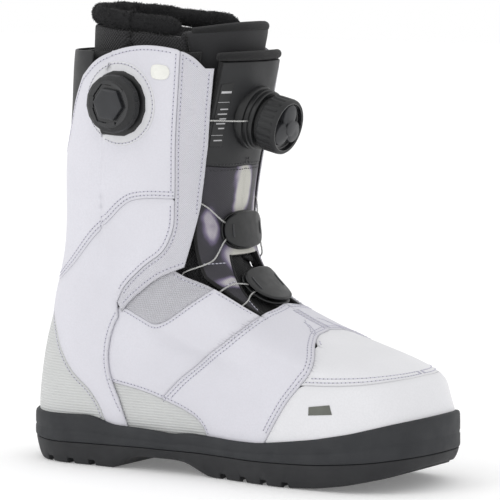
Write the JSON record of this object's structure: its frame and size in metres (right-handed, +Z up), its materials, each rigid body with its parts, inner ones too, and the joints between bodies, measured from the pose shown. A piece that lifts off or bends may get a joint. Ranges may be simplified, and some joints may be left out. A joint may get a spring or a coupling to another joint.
{
  "type": "snowboard boot",
  "caption": "Right snowboard boot with a padded cuff, a hinged tongue, two lace dials whose knobs pull out and spin, a lined shell and a removable liner shape.",
  "frame": {"origin": "middle of the boot's box, on the ground", "axes": "+X to the toe, +Z up, -Y the outer side, where the side dial is"},
  "size_m": [0.2886, 0.1184, 0.291],
  "materials": {
    "white_leather": "grained synthetic leather, cool white",
    "band_textile": "close ribbed textile, cool white",
    "grey_textile": "textured synthetic, light grey",
    "white_mesh": "open woven mesh, white",
    "black_fabric": "black padded textile",
    "liner_mesh": "black spacer mesh",
    "black_leather": "smooth black synthetic leather",
    "printed_textile": "soft black, violet and cream dyed print",
    "sole_rubber": "moulded charcoal rubber",
    "midsole_rubber": "moulded charcoal rubber, satin",
    "board": "pressed fibre board",
    "footbed_foam": "grey foam with a textile top",
    "fur": "black synthetic fur",
    "black_plastic": "black moulded plastic, satin to gloss",
    "grip_rubber": "black knurled rubber",
    "screw_steel": "bare steel",
    "steel_lace": "woven grey-white lace over a steel core"
  },
  "bodies": {
    "root": {"toe_cap": "white_leather", "vamp": "white_leather", "quarter_front_lateral": "white_leather", "quarter_front_medial": "white_leather", "quarter_rear_lateral": "white_leather", "quarter_rear_medial": "white_leather", "cuff_ankle_lateral": "white_leather", "cuff_ankle_medial": "white_leather", "cuff_upper_lateral": "white_leather", "cuff_upper_medial": "white_leather", "cuff_band_lateral": "band_textile", "cuff_band_medial": "band_textile", "heel_counter": "grey_textile", "arch_insert_lateral": "grey_textile", "arch_insert_medial": "grey_textile", "quarter_mesh_lateral": "white_mesh", "quarter_mesh_medial": "white_mesh", "shell_lining": "black_fabric", "ankle_harness_lateral": "black_fabric", "ankle_harness_medial": "black_fabric", "lace_sleeve_lateral": "black_fabric", "lace_sleeve_medial": "black_fabric", "liner_flap": "black_fabric", "liner_body": "liner_mesh", "spine_panel": "black_leather", "outsole": "sole_rubber", "liner_sole": "sole_rubber", "midsole": "midsole_rubber", "lasting_board": "board", "footbed": "footbed_foam", "liner_collar": "fur", "harness_dock_lateral": "black_plastic", "harness_dock_medial": "black_plastic", "side_dial_base": "black_plastic", "side_dial_cup": "black_plastic", "side_dial_screw": "screw_steel", "shell_lace_lateral": "steel_lace", "shell_lace_medial": "steel_lace", "harness_lace_lateral": "steel_lace", "harness_lace_medial": "steel_lace"},
    "tongue": {"tongue_pad": "black_fabric", "tongue_upper": "black_leather", "tongue_lower": "printed_textile", "tongue_binding": "black_fabric", "tongue_label": "black_leather", "upper_guide": "black_plastic", "lower_guide": "black_plastic", "tongue_dial_base": "black_plastic", "tongue_dial_cup": "black_plastic", "tongue_dial_screw": "screw_steel"},
    "side_spool": {"side_dial_spool": "black_plastic", "side_dial_ratchet": "black_plastic"},
    "side_knob": {"side_dial_knob": "black_plastic", "side_dial_grip": "grip_rubber", "side_dial_cap": "black_plastic"},
    "tongue_spool": {"tongue_dial_spool": "black_plastic", "tongue_dial_ratchet": "black_plastic"},
    "tongue_knob": {"tongue_dial_knob": "black_plastic", "tongue_dial_grip": "grip_rubber", "tongue_dial_cap": "black_plastic"}
  },
  "joints": [
    {"name": "tongue_tilt", "type": "hinge", "parent": "root", "child": "tongue", "pos_m": [0.0554, 0, 0.0901], "axis": [0, 1, 0], "range_deg": [0, 30], "deforming": ["shell_lace_lateral", "shell_lace_medial", "harness_lace_lateral", "harness_lace_medial"]},
    {"name": "side_spool_spin", "type": "hinge", "parent": "root", "child": "side_spool", "pos_m": [-0.05656, -0.04268, 0.225], "axis": [0, -1, -0.0058], "continuous": true},
    {"name": "side_knob_pull", "type": "slide", "parent": "side_spool", "child": "side_knob", "axis": [0, -1, -0.0058], "range_m": [0, 0.0032]},
    {"name": "tongue_spool_spin", "type": "hinge", "parent": "tongue", "child": "tongue_spool", "pos_m": [0.00968, 0.00549, 0.216], "axis": [0.9723, 0, -0.2336], "continuous": true},
    {"name": "tongue_knob_pull", "type": "slide", "parent": "tongue_spool", "child": "tongue_knob", "axis": [0.9723, 0, -0.2336], "range_m": [0, 0.0032]}
  ]
}
